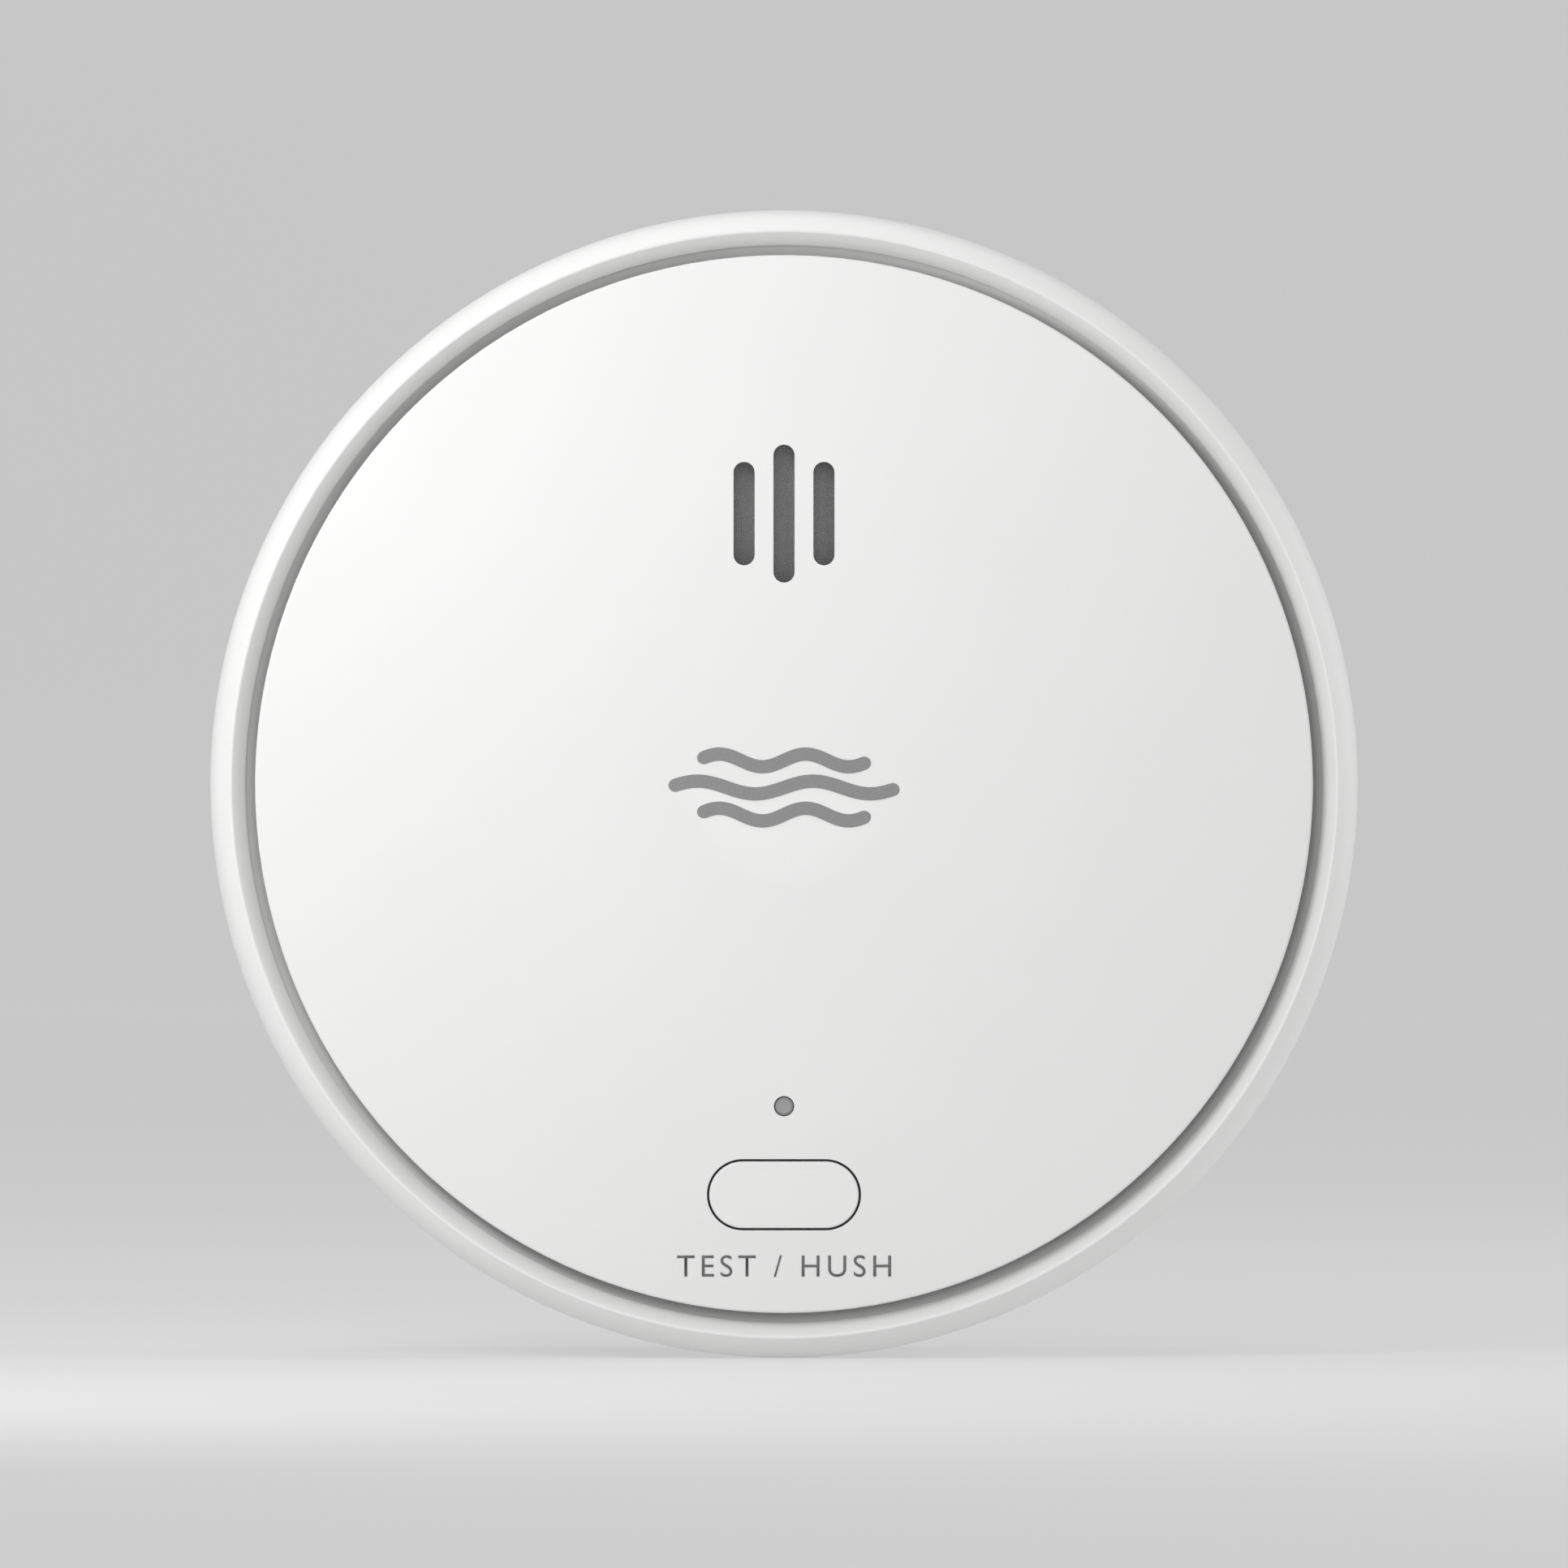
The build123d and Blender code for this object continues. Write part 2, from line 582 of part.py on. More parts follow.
with BuildPart() as infrared_led:
    with BuildSketch(tangent_view(8.4, EMITTER_ANGLE, CHAMBER_AT, OPTIC_H)):
        Circle(1.5)
    extrude(amount=3.4)
    with BuildSketch(tangent_view(11.0, EMITTER_ANGLE, CHAMBER_AT, OPTIC_H)):
        Circle(1.85)
    extrude(amount=0.8)
    with Locations(at(polar(8.4, EMITTER_ANGLE, CHAMBER_AT), OPTIC_H)):
        Sphere(1.5)
    for leg in EMITTER_LEGS:
        tube(leg, 0, 0.25, BOARD_TOP, OPTIC_H)
finish(infrared_led, "infrared_led")

with BuildPart() as photodiode:
    block(RECEIVER_AT, (2.0, 3.2), OPTIC_H - 2.2, OPTIC_H + 2.2, RECEIVER_ANGLE)
    with BuildSketch(tangent_view(6.6, RECEIVER_ANGLE, CHAMBER_AT, OPTIC_H)):
        Circle(1.1)
    extrude(amount=2.0)
finish(photodiode, "photodiode")

with BuildPart() as photodiode_shield:
    block(RECEIVER_AT, (3.8, 4.8), CHAMBER_FLOOR, OPTIC_H + 3.0, RECEIVER_ANGLE)
    block(RECEIVER_AT, (3.2, 4.2), CHAMBER_FLOOR, OPTIC_H + 2.7, RECEIVER_ANGLE, Mode.SUBTRACT)
    with BuildSketch(tangent_view(5.0, RECEIVER_ANGLE, CHAMBER_AT, OPTIC_H)):
        Circle(1.3)
    extrude(amount=4.0, mode=Mode.SUBTRACT)
finish(photodiode_shield, "photodiode_shield")

# ------------------------------------------------------------------ circuit board and what stands on it
BOARD_R, BOARD_EDGE_U = 44.0, -22.0

with BuildPart() as main_board:
    with BuildSketch(level(BOARD)):
        Circle(BOARD_R)
        with Locations((BOARD_EDGE_U, 0)):
            Rectangle(BOARD_R, 2 * BOARD_R, align=(Align.MAX, Align.CENTER), mode=Mode.SUBTRACT)
        with Locations(*[polar(SCREW_R, angle) for angle in SCREW_ANGLES]):
            Circle(BOSS_R + 0.6, mode=Mode.SUBTRACT)
        with Locations(*BOARD_POSTS):
            Circle(1.3, mode=Mode.SUBTRACT)
    extrude(amount=BOARD_T)
finish(main_board, "main_board")

with BuildPart() as microcontroller:
    block((28.0, 13.0), (6.0, 10.2), BOARD_TOP + 0.1, BOARD_TOP + 1.8)
    for step in range(8):
        v = 13.0 + 1.27 * (step - 3.5)
        block((28.0, v), (8.0, 0.42), BOARD_TOP + 0.5, BOARD_TOP + 0.75)
        block((31.9, v), (0.5, 0.42), BOARD_TOP, BOARD_TOP + 0.75)
        block((24.1, v), (0.5, 0.42), BOARD_TOP, BOARD_TOP + 0.75)
finish(microcontroller, "microcontroller")

COIL_AT = (33.0, -9.0)
with BuildPart() as driver_coil:
    turned(
        COIL_AT,
        [
            (0, BOARD_TOP),
            (4.2, BOARD_TOP),
            (4.2, BOARD_TOP + 1.0),
            (3.7, BOARD_TOP + 1.0),
            (3.7, BOARD_TOP + 5.4),
            (4.2, BOARD_TOP + 5.4),
            (4.2, BOARD_TOP + 6.4),
            (0, BOARD_TOP + 6.4),
        ],
    )
finish(driver_coil, "driver_coil")

with BuildPart() as electrolytic_capacitor:
    block((23.0, -22.0), (6.6, 6.6), BOARD_TOP, BOARD_TOP + 0.8)
    tube((23.0, -22.0), 0, 3.1, BOARD_TOP + 0.8, BOARD_TOP + 6.2)
finish(electrolytic_capacitor, "electrolytic_capacitor")

with BuildPart() as chip_resistors:
    with BuildSketch(level(BOARD_TOP)):
        with Locations((20.5, 1.5)):
            with GridLocations(2.6, 1.9, 2, 6):
                Rectangle(1.6, 0.8)
        with Locations((36.0, 20.0)):
            with GridLocations(1.6, 2.4, 2, 2):
                Rectangle(0.8, 1.6)
    extrude(amount=0.5)
finish(chip_resistors, "chip_resistors")

with BuildPart() as chip_capacitors:
    with BuildSketch(level(BOARD_TOP)):
        with Locations((20.5, 10.5)):
            with GridLocations(2.6, 1.9, 2, 3):
                Rectangle(1.6, 0.8)
        with Locations((12.0, -29.0)):
            with GridLocations(2.0, 2.4, 3, 1):
                Rectangle(0.8, 1.6)
    extrude(amount=0.8)
finish(chip_capacitors, "chip_capacitors")

with BuildPart() as transistors:
    for place in [(26.0, -8.0), (26.0, -13.5), (36.5, 8.0)]:
        block(place, (1.3, 2.9), BOARD_TOP + 0.1, BOARD_TOP + 1.1)
        block(place, (2.5, 0.4), BOARD_TOP, BOARD_TOP + 0.3)
finish(transistors, "transistors")

with BuildPart() as status_led:
    block(LIGHT_AT, (2.0, 1.25), BOARD_TOP, BOARD_TOP + 0.5)
    block(LIGHT_AT, (1.2, 1.25), BOARD_TOP + 0.5, BOARD_TOP + 0.8)
finish(status_led, "status_led")

with BuildPart() as button_switch_body:
    block(BUTTON_AT, (6.2, 6.2), BOARD_TOP, BOARD_TOP + 3.5)
    bore(BUTTON_AT, 1.8, BOARD_TOP + 0.9, BOARD_TOP + 3.5)
finish(button_switch_body, "button_switch_body")

with BuildPart() as button_switch_plunger:
    tube(BUTTON_AT, 0, 1.72, BOARD_TOP + 1.8, SWITCH_TIP)
finish(button_switch_plunger, "button_switch_plunger")

# ------------------------------------------------------------------ activation pin and its switch
ARM_LOW, ARM_TOP = 11.6, 12.6
SWITCH_AT = polar(SWITCH_R, PIN_ANGLE)
SWITCH_FRONT = 13.2
SPRING_R, SPRING_WIRE_R, SPRING_TURNS = 1.9, 0.2, 4.5

with BuildPart() as activation_switch_body:
    block(SWITCH_AT, (4.2, 5.4), SWITCH_FRONT, BOARD, PIN_ANGLE)
    bore(SWITCH_AT, 0.9, SWITCH_FRONT, BOARD - 0.6)
finish(activation_switch_body, "activation_switch_body")

with BuildPart() as activation_switch_slider:
    tube(SWITCH_AT, 0, 0.82, ARM_TOP, BOARD - 0.8)
finish(activation_switch_slider, "activation_switch_slider")

with BuildPart() as activation_plunger:
    tube(PIN_AT, 0, PIN_SHAFT_R, PIN_TIP + PIN_SHAFT_R, ARM_TOP)
    with Locations(at(PIN_AT, PIN_TIP + PIN_SHAFT_R)):
        Sphere(PIN_SHAFT_R)
    tube(PIN_AT, 0, 2.6, ARM_LOW, ARM_TOP)
    arm_middle = polar((PIN_R + SWITCH_R) / 2 - 0.5, PIN_ANGLE)
    block(arm_middle, (PIN_R - SWITCH_R + 1.6, 2.4), ARM_LOW, ARM_TOP, PIN_ANGLE)
    tube(PIN_AT, 0, 1.2, ARM_TOP, 14.4)
finish(activation_plunger, "activation_plunger")

with BuildPart() as plunger_spring:
    spring_low = ARM_TOP + SPRING_WIRE_R
    spring_span = BOARD - ARM_TOP - 2 * SPRING_WIRE_R
    with BuildLine():
        coil = Helix(
            pitch=spring_span / SPRING_TURNS,
            height=spring_span,
            radius=SPRING_R,
            center=at(PIN_AT, spring_low),
            direction=(0, -1, 0),
        )
    with BuildSketch(Plane(origin=coil @ 0, z_dir=coil % 0)):
        Circle(SPRING_WIRE_R)
    sweep(is_frenet=True)
finish(plunger_spring, "plunger_spring")

# ------------------------------------------------------------------ battery
HALF_CELL = CELL_LENGTH / 2
LEAD_R = 0.55
PLUG = (5.0, 3.4)
PLUG_LOW, PLUG_TOP = 19.8, 24.4
WIRE_PITCH = 2.0
LEAD_H, LEAD_CREST, LEAD_BEND = 22.6, 25.4, 1.0

with BuildPart() as battery_cell:
    with BuildSketch(battery_view(-HALF_CELL)):
        Circle(CELL_R)
    extrude(amount=CELL_LENGTH - 0.8)
    fillet(battery_cell.edges().filter_by(GeomType.CIRCLE), 0.6)
    with BuildSketch(battery_view(HALF_CELL - 1.0)):
        Circle(3.2)
    extrude(amount=1.0)
finish(battery_cell, "battery_cell")

with BuildPart() as battery_sleeve:
    with BuildSketch(battery_view(-HALF_CELL + 0.7)):
        Circle(SLEEVE_R)
        Circle(CELL_R, mode=Mode.SUBTRACT)
    extrude(amount=CELL_LENGTH - 2.2)
finish(battery_sleeve, "battery_sleeve")

with BuildPart() as battery_tabs:
    for end in (-1, 1):
        block((BATTERY_U, end * (HALF_CELL + 0.08)), (4.0, 0.16), BATTERY_H - 3.0, 23.6)
finish(battery_tabs, "battery_tabs")

with BuildPart() as battery_pad:
    block((BATTERY_U, 0), (7.0, 22.0), BATTERY_H + SLEEVE_R, DECK_BACK)
finish(battery_pad, "battery_pad")

with BuildPart() as board_connector:
    block(PLUG_AT, (6.2, 4.6), BOARD_TOP, 22.4)
    block(PLUG_AT, (PLUG[0] + 0.1, PLUG[1] + 0.1), PLUG_LOW - 0.1, 22.4, mode=Mode.SUBTRACT)
finish(board_connector, "board_connector")

with BuildPart() as battery_plug:
    block(PLUG_AT, PLUG, PLUG_LOW, PLUG_TOP)
    for side in (-1, 1):
        bore((PLUG_AT[0] + side * WIRE_PITCH / 2, PLUG_AT[1]), LEAD_R + 0.1, 21.6, PLUG_TOP)
finish(battery_plug, "battery_plug")


def lead(v, wire_u):
    """Adds an insulated wire from the tab at v, over the board's edge and down into the plug."""
    towards = 4.0 if v < 0 else -4.0
    with BuildLine() as route:
        FilletPolyline(
            at((BATTERY_U + 1, v), LEAD_H),
            at((wire_u, v), LEAD_H),
            at((wire_u, v + towards), LEAD_CREST),
            at((wire_u, PLUG_AT[1]), LEAD_CREST),
            at((wire_u, PLUG_AT[1]), PLUG_LOW + 2.2),
            radius=LEAD_BEND,
        )
    run = route.wires()[0]
    with BuildSketch(Plane(origin=run @ 0, z_dir=run % 0)) as profile:
        Circle(LEAD_R)
    sweep(profile.sketch, path=run)


with BuildPart() as battery_lead_positive:
    lead(HALF_CELL + 0.75, PLUG_AT[0] + WIRE_PITCH / 2)
finish(battery_lead_positive, "battery_lead_positive")

with BuildPart() as battery_lead_negative:
    lead(-HALF_CELL - 0.75, PLUG_AT[0] - WIRE_PITCH / 2)
finish(battery_lead_negative, "battery_lead_negative")


# ------------------------------------------------------------------ screws
def screw(place, seat, shank, head_out):
    """Adds a cross-recessed pan head screw. The head lies on the head_out side (1 front, -1 back)."""
    low, high = sorted((seat, seat + head_out * 1.6))
    tube(place, 0, 2.3, low, high)
    outer = seat + head_out * 1.6
    for turn in (0, 90):
        recess = sorted((outer, outer - head_out * 0.9))
        block(place, (2.6, 0.6), recess[0], recess[1], turn, Mode.SUBTRACT)
    low, high = sorted((seat, seat - head_out * shank))
    tube(place, 0, 1.1, low, high)


with BuildPart() as housing_screws:
    for angle in SCREW_ANGLES:
        screw(polar(SCREW_R, angle), SCREW_SEAT, 12.0, -1)
finish(housing_screws, "housing_screws")

with BuildPart() as board_screws:
    for place in BOARD_POSTS:
        low = BOARD_TOP
        tube(place, 0, 2.1, low, low + 1.3)
        for turn in (0, 90):
            block(place, (2.2, 0.5), low + 0.5, low + 1.3, turn, Mode.SUBTRACT)
        tube(place, 0, 0.9, low - 6.0, low)
finish(board_screws, "board_screws")
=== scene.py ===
"""Looks for the smoke alarm: materials, printed marks, stage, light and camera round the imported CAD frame."""

import math

import bpy
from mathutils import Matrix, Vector


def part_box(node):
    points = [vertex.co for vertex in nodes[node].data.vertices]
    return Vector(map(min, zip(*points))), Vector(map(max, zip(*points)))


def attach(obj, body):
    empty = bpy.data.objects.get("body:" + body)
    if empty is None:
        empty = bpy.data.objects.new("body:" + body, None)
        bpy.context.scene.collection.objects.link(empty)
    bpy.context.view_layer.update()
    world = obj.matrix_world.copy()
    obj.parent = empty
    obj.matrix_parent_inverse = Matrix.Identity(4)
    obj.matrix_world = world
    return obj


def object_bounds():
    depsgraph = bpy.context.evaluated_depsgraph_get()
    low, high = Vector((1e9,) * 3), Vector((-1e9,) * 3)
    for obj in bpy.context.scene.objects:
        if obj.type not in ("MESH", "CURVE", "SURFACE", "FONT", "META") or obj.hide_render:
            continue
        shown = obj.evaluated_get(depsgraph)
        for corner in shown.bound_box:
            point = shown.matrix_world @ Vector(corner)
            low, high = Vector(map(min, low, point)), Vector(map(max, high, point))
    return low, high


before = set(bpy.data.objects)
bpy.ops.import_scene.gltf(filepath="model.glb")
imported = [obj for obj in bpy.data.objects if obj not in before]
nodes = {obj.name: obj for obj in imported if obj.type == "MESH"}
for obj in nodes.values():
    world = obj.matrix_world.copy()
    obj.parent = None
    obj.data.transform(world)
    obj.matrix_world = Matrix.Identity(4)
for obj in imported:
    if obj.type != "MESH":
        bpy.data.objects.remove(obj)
cad_low, cad_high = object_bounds()
MM = 0.001


# ------------------------------------------------------------------ shader helpers
def new_material(name):
    """An empty node material and its tree, with a Principled shader wired to the output."""
    material = bpy.data.materials.new(name)
    material.use_nodes = True
    tree = material.node_tree
    tree.nodes.clear()
    output = tree.nodes.new("ShaderNodeOutputMaterial")
    shader = tree.nodes.new("ShaderNodeBsdfPrincipled")
    tree.links.new(shader.outputs[0], output.inputs[0])
    return material, tree, shader


def noise(tree, scale, detail=2.0, roughness=0.5, stretch=(1, 1, 1)):
    """Noise over the object's own coordinates. scale is in features per metre."""
    coords = tree.nodes.new("ShaderNodeTexCoord")
    mapping = tree.nodes.new("ShaderNodeMapping")
    mapping.inputs["Scale"].default_value = stretch
    texture = tree.nodes.new("ShaderNodeTexNoise")
    texture.inputs["Scale"].default_value = scale
    texture.inputs["Detail"].default_value = detail
    texture.inputs["Roughness"].default_value = roughness
    tree.links.new(coords.outputs["Object"], mapping.inputs["Vector"])
    tree.links.new(mapping.outputs[0], texture.inputs["Vector"])
    return texture.outputs[0]


def remap(tree, value, low, high, start=0.3, stop=0.7):
    """value between start and stop, spread over low to high."""
    node = tree.nodes.new("ShaderNodeMapRange")
    node.inputs["From Min"].default_value = start
    node.inputs["From Max"].default_value = stop
    node.inputs["To Min"].default_value = low
    node.inputs["To Max"].default_value = high
    tree.links.new(value, node.inputs["Value"])
    return node.outputs[0]


def mix_colours(tree, factor, first, second):
    """A colour between two, by factor."""
    node = tree.nodes.new("ShaderNodeMix")
    node.data_type = "RGBA"
    node.inputs["A"].default_value = (*first, 1)
    node.inputs["B"].default_value = (*second, 1)
    tree.links.new(factor, node.inputs["Factor"])
    return node.outputs["Result"]


def bump(tree, shader, height, distance, strength=1.0):
    """Relief of a real depth in metres on the shader."""
    node = tree.nodes.new("ShaderNodeBump")
    node.inputs["Distance"].default_value = distance
    node.inputs["Strength"].default_value = strength
    tree.links.new(height, node.inputs["Height"])
    tree.links.new(node.outputs[0], shader.inputs["Normal"])


def shade(colour, factor):
    """A colour made darker or lighter by a factor."""
    return tuple(min(1.0, c * factor) for c in colour)


def plastic(name, colour, rough=0.4, grain=0.000012, grain_scale=5000, vary=0.02):
    """Moulded plastic: fine spark-eroded grain, slow colour drift and handling marks in the gloss."""
    material, tree, shader = new_material(name)
    drift = remap(tree, noise(tree, 60, 3), 0, 1)
    base = mix_colours(tree, drift, shade(colour, 1 - vary), shade(colour, 1 + vary))
    tree.links.new(base, shader.inputs["Base Color"])
    gloss = remap(tree, noise(tree, 180, 4, 0.6), rough - 0.05, rough + 0.05)
    tree.links.new(gloss, shader.inputs["Roughness"])
    shader.inputs["Specular IOR Level"].default_value = 0.5
    bump(tree, shader, noise(tree, grain_scale, 2), grain, 0.6)
    return material


def metal(name, colour, rough=0.3, stretch=(1, 1, 1), scale=3000, vary=0.08):
    """Bare or plated metal with drawn or brushed streaks along the unstretched axes."""
    material, tree, shader = new_material(name)
    streaks = noise(tree, scale, 3, 0.6, stretch)
    tarnish = remap(tree, noise(tree, 150, 4, 0.6), 0, 1)
    base = mix_colours(tree, tarnish, shade(colour, 1 - vary), shade(colour, 1 + vary))
    tree.links.new(base, shader.inputs["Base Color"])
    shader.inputs["Metallic"].default_value = 1.0
    tree.links.new(remap(tree, streaks, rough - 0.08, rough + 0.1), shader.inputs["Roughness"])
    bump(tree, shader, streaks, 0.000004, 0.5)
    return material


def foam(name, colour):
    """Cellular foam with open pores, with painted shade darkening each pore towards its centre and painted
    light on the cell walls.
    """
    material, tree, shader = new_material(name)
    pore_relief_and_shade = tree.nodes.new("ShaderNodeTexVoronoi")
    coords = tree.nodes.new("ShaderNodeTexCoord")
    pore_relief_and_shade.inputs["Scale"].default_value = 2500
    tree.links.new(coords.outputs["Object"], pore_relief_and_shade.inputs["Vector"])
    # painted shade and light: the foam is darker towards each pore's hollow centre and lighter on the cell
    # walls between them
    base = mix_colours(tree, pore_relief_and_shade.outputs["Distance"], shade(colour, 0.4), shade(colour, 1.5))
    tree.links.new(base, shader.inputs["Base Color"])
    tree.links.new(remap(tree, noise(tree, 400), 0.85, 0.95), shader.inputs["Roughness"])
    bump(tree, shader, pore_relief_and_shade.outputs["Distance"], 0.00015)
    return material


def woven(name, thread, pitch):
    """Plain-woven acoustic cloth: threads along X and Z at a real pitch."""
    material, tree, shader = new_material(name)
    coords = tree.nodes.new("ShaderNodeTexCoord")
    waves = []
    for axis in ("X", "Z"):
        wave = tree.nodes.new("ShaderNodeTexWave")
        wave.wave_type = "BANDS"
        wave.bands_direction = axis
        wave.inputs["Scale"].default_value = math.pi / 10 / pitch
        tree.links.new(coords.outputs["Object"], wave.inputs["Vector"])
        waves.append(wave.outputs["Fac"])
    weave = tree.nodes.new("ShaderNodeMath")
    weave.operation = "MULTIPLY"
    tree.links.new(waves[0], weave.inputs[0])
    tree.links.new(waves[1], weave.inputs[1])
    base = mix_colours(tree, weave.outputs[0], shade(thread, 0.75), shade(thread, 1.1))
    tree.links.new(base, shader.inputs["Base Color"])
    tree.links.new(remap(tree, noise(tree, 900), 0.75, 0.9), shader.inputs["Roughness"])
    bump(tree, shader, weave.outputs[0], 0.00006)
    return material


def resin(name, colour, rough):
    """Cast or polished resin, with a faint flow in it."""
    material, tree, shader = new_material(name)
    flow = remap(tree, noise(tree, 700, 2), 0, 1)
    base = mix_colours(tree, flow, shade(colour, 0.93), shade(colour, 1.05))
    tree.links.new(base, shader.inputs["Base Color"])
    tree.links.new(remap(tree, noise(tree, 1200, 3), rough - 0.04, rough + 0.06), shader.inputs["Roughness"])
    shader.inputs["IOR"].default_value = 1.5
    bump(tree, shader, noise(tree, 1500, 2), 0.000005, 0.4)
    return material


def ink(name, colour):
    """Pad-printed ink: even, with pinholes of the plastic's grain."""
    material, tree, shader = new_material(name)
    speck = remap(tree, noise(tree, 6000, 2), 0, 1, 0.25, 0.45)
    tree.links.new(mix_colours(tree, speck, shade(colour, 1.25), colour), shader.inputs["Base Color"])
    tree.links.new(remap(tree, noise(tree, 2500, 3), 0.45, 0.6), shader.inputs["Roughness"])
    shader.inputs["Specular IOR Level"].default_value = 0.4
    bump(tree, shader, noise(tree, 5000, 2), 0.00001, 0.5)
    return material


def board_surface(name):
    """Solder mask over copper traces on a fine grid."""
    material, tree, shader = new_material(name)
    coords = tree.nodes.new("ShaderNodeTexCoord")
    cells = tree.nodes.new("ShaderNodeTexVoronoi")
    cells.distance = "MANHATTAN"
    cells.feature = "DISTANCE_TO_EDGE"
    cells.inputs["Scale"].default_value = 260
    cells.inputs["Randomness"].default_value = 0.75
    tree.links.new(coords.outputs["Object"], cells.inputs["Vector"])
    traces = remap(tree, cells.outputs["Distance"], 1, 0, 0.03, 0.06)
    base = mix_colours(tree, traces, (0.010, 0.070, 0.030), (0.035, 0.170, 0.070))
    tree.links.new(base, shader.inputs["Base Color"])
    tree.links.new(remap(tree, noise(tree, 900, 3), 0.3, 0.45), shader.inputs["Roughness"])
    bump(tree, shader, traces, 0.00003)
    return material


# ------------------------------------------------------------------ materials for the CAD nodes
WHITE = (0.80, 0.80, 0.795)
materials = {
    "front_housing": plastic("case_white", WHITE, rough=0.42, vary=0.008),
    "cover_disc": plastic("cover_white", WHITE, rough=0.42, vary=0.006),
    "test_button": plastic("button_white", WHITE, rough=0.38, vary=0.006),
    "rear_housing": plastic("rear_white", (0.78, 0.78, 0.77), rough=0.46, vary=0.012),
    "wall_bracket": plastic("bracket_white", (0.74, 0.74, 0.72), rough=0.5, grain=0.00002, grain_scale=3500),
    "light_pipe": resin("pipe_smoke", (0.30, 0.30, 0.30), rough=0.25),
    "acoustic_mesh": woven("mesh_cloth", (0.50, 0.50, 0.50), 0.00015),
    "sounder_gasket": foam("gasket_foam", (0.05, 0.05, 0.05)),
    "sounder_cup": plastic("cup_black", (0.03, 0.03, 0.032), rough=0.5, vary=0.1),
    "sounder_clamp_ring": plastic("clamp_black", (0.035, 0.035, 0.035), rough=0.5, vary=0.1),
    "piezo_plate": metal("piezo_brass", (0.78, 0.58, 0.26), rough=0.25),
    "piezo_ceramic": metal("piezo_silver", (0.74, 0.73, 0.70), rough=0.5),
    "sounder_contacts": metal("contact_plating", (0.76, 0.70, 0.55), rough=0.25),
    "chamber_base": plastic("chamber_black", (0.012, 0.012, 0.012), rough=0.6, vary=0.15, grain=0.00003),
    "chamber_cap": plastic("chamber_cap_black", (0.012, 0.012, 0.012), rough=0.6, vary=0.15, grain=0.00003),
    "insect_screen": metal("screen_steel", (0.5, 0.5, 0.49), rough=0.35),
    "infrared_led": resin("emitter_blue", (0.20, 0.22, 0.42), rough=0.08),
    "photodiode": resin("receiver_black", (0.02, 0.015, 0.02), rough=0.12),
    "photodiode_shield": metal("shield_tin", (0.68, 0.68, 0.67), rough=0.32),
    "main_board": board_surface("solder_mask"),
    "microcontroller": plastic("chip_epoxy", (0.03, 0.03, 0.032), rough=0.55, vary=0.1),
    "driver_coil": plastic("coil_ferrite", (0.06, 0.06, 0.065), rough=0.6, vary=0.15),
    "electrolytic_capacitor": metal("can_aluminium", (0.75, 0.75, 0.76), rough=0.28, stretch=(1, 0.1, 1)),
    "chip_resistors": plastic("resistor_glaze", (0.03, 0.03, 0.035), rough=0.3, vary=0.2),
    "chip_capacitors": plastic("capacitor_ceramic", (0.42, 0.28, 0.16), rough=0.4, vary=0.1),
    "transistors": plastic("transistor_epoxy", (0.03, 0.03, 0.03), rough=0.5, vary=0.1),
    "status_led": resin("led_lens", (0.82, 0.80, 0.62), rough=0.15),
    "button_switch_body": plastic("switch_black", (0.03, 0.03, 0.03), rough=0.45, vary=0.1),
    "button_switch_plunger": plastic("plunger_red", (0.45, 0.05, 0.03), rough=0.4, vary=0.05),
    "activation_switch_body": plastic("detector_switch_black", (0.03, 0.03, 0.03), rough=0.45, vary=0.1),
    "activation_switch_slider": plastic("slider_ivory", (0.75, 0.72, 0.62), rough=0.4, vary=0.04),
    "activation_plunger": plastic("pin_acetal", (0.78, 0.78, 0.75), rough=0.3, vary=0.02, grain=0.000005),
    "plunger_spring": metal("spring_wire", (0.58, 0.58, 0.58), rough=0.22, scale=8000),
    "battery_cell": metal("cell_nickel", (0.66, 0.66, 0.65), rough=0.25, stretch=(1, 1, 0.1)),
    "battery_sleeve": plastic("sleeve_film", (0.05, 0.14, 0.32), rough=0.22, vary=0.05, grain=0.000004),
    "battery_tabs": metal("tab_nickel", (0.70, 0.69, 0.66), rough=0.35),
    "battery_lead_positive": plastic("lead_red", (0.42, 0.02, 0.02), rough=0.42, vary=0.05),
    "battery_lead_negative": plastic("lead_black", (0.02, 0.02, 0.02), rough=0.42, vary=0.1),
    "board_connector": plastic("header_nylon", (0.76, 0.74, 0.66), rough=0.4, vary=0.03),
    "battery_plug": plastic("plug_nylon", (0.74, 0.72, 0.64), rough=0.4, vary=0.03),
    "battery_pad": foam("pad_foam", (0.08, 0.08, 0.08)),
    "housing_screws": metal("zinc", (0.70, 0.70, 0.68), rough=0.28),
    "board_screws": metal("board_screw_zinc", (0.70, 0.70, 0.68), rough=0.28),
    "rear_label": plastic("label_film", (0.66, 0.67, 0.68), rough=0.25, vary=0.01, grain=0.000003),
}
for name, node in nodes.items():
    material = materials[name]
    if not node.material_slots:
        node.data.materials.append(material)
    for slot in node.material_slots:
        slot.material = material


# ------------------------------------------------------------------ printed marks
DISC_R = (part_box("cover_disc")[1].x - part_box("cover_disc")[0].x) / 2
CROWN_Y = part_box("cover_disc")[0].y
DOME_RISE = 1.2 * MM
DOME_R = (DISC_R**2 + DOME_RISE**2) / (2 * DOME_RISE)
INK_T = 0.03 * MM
PRINT_GREY = (0.135, 0.135, 0.135)
MARK_GREY = (0.245, 0.245, 0.245)
LETTER_SIZE = 3 * MM  # before the lettering is scaled to its width
STROKE_TRIM = 0.012 * MM


def disc_front(x, z):
    """The y of the cover disc's domed front at a place on it."""
    return CROWN_Y + DOME_R - math.sqrt(DOME_R**2 - x * x - z * z)


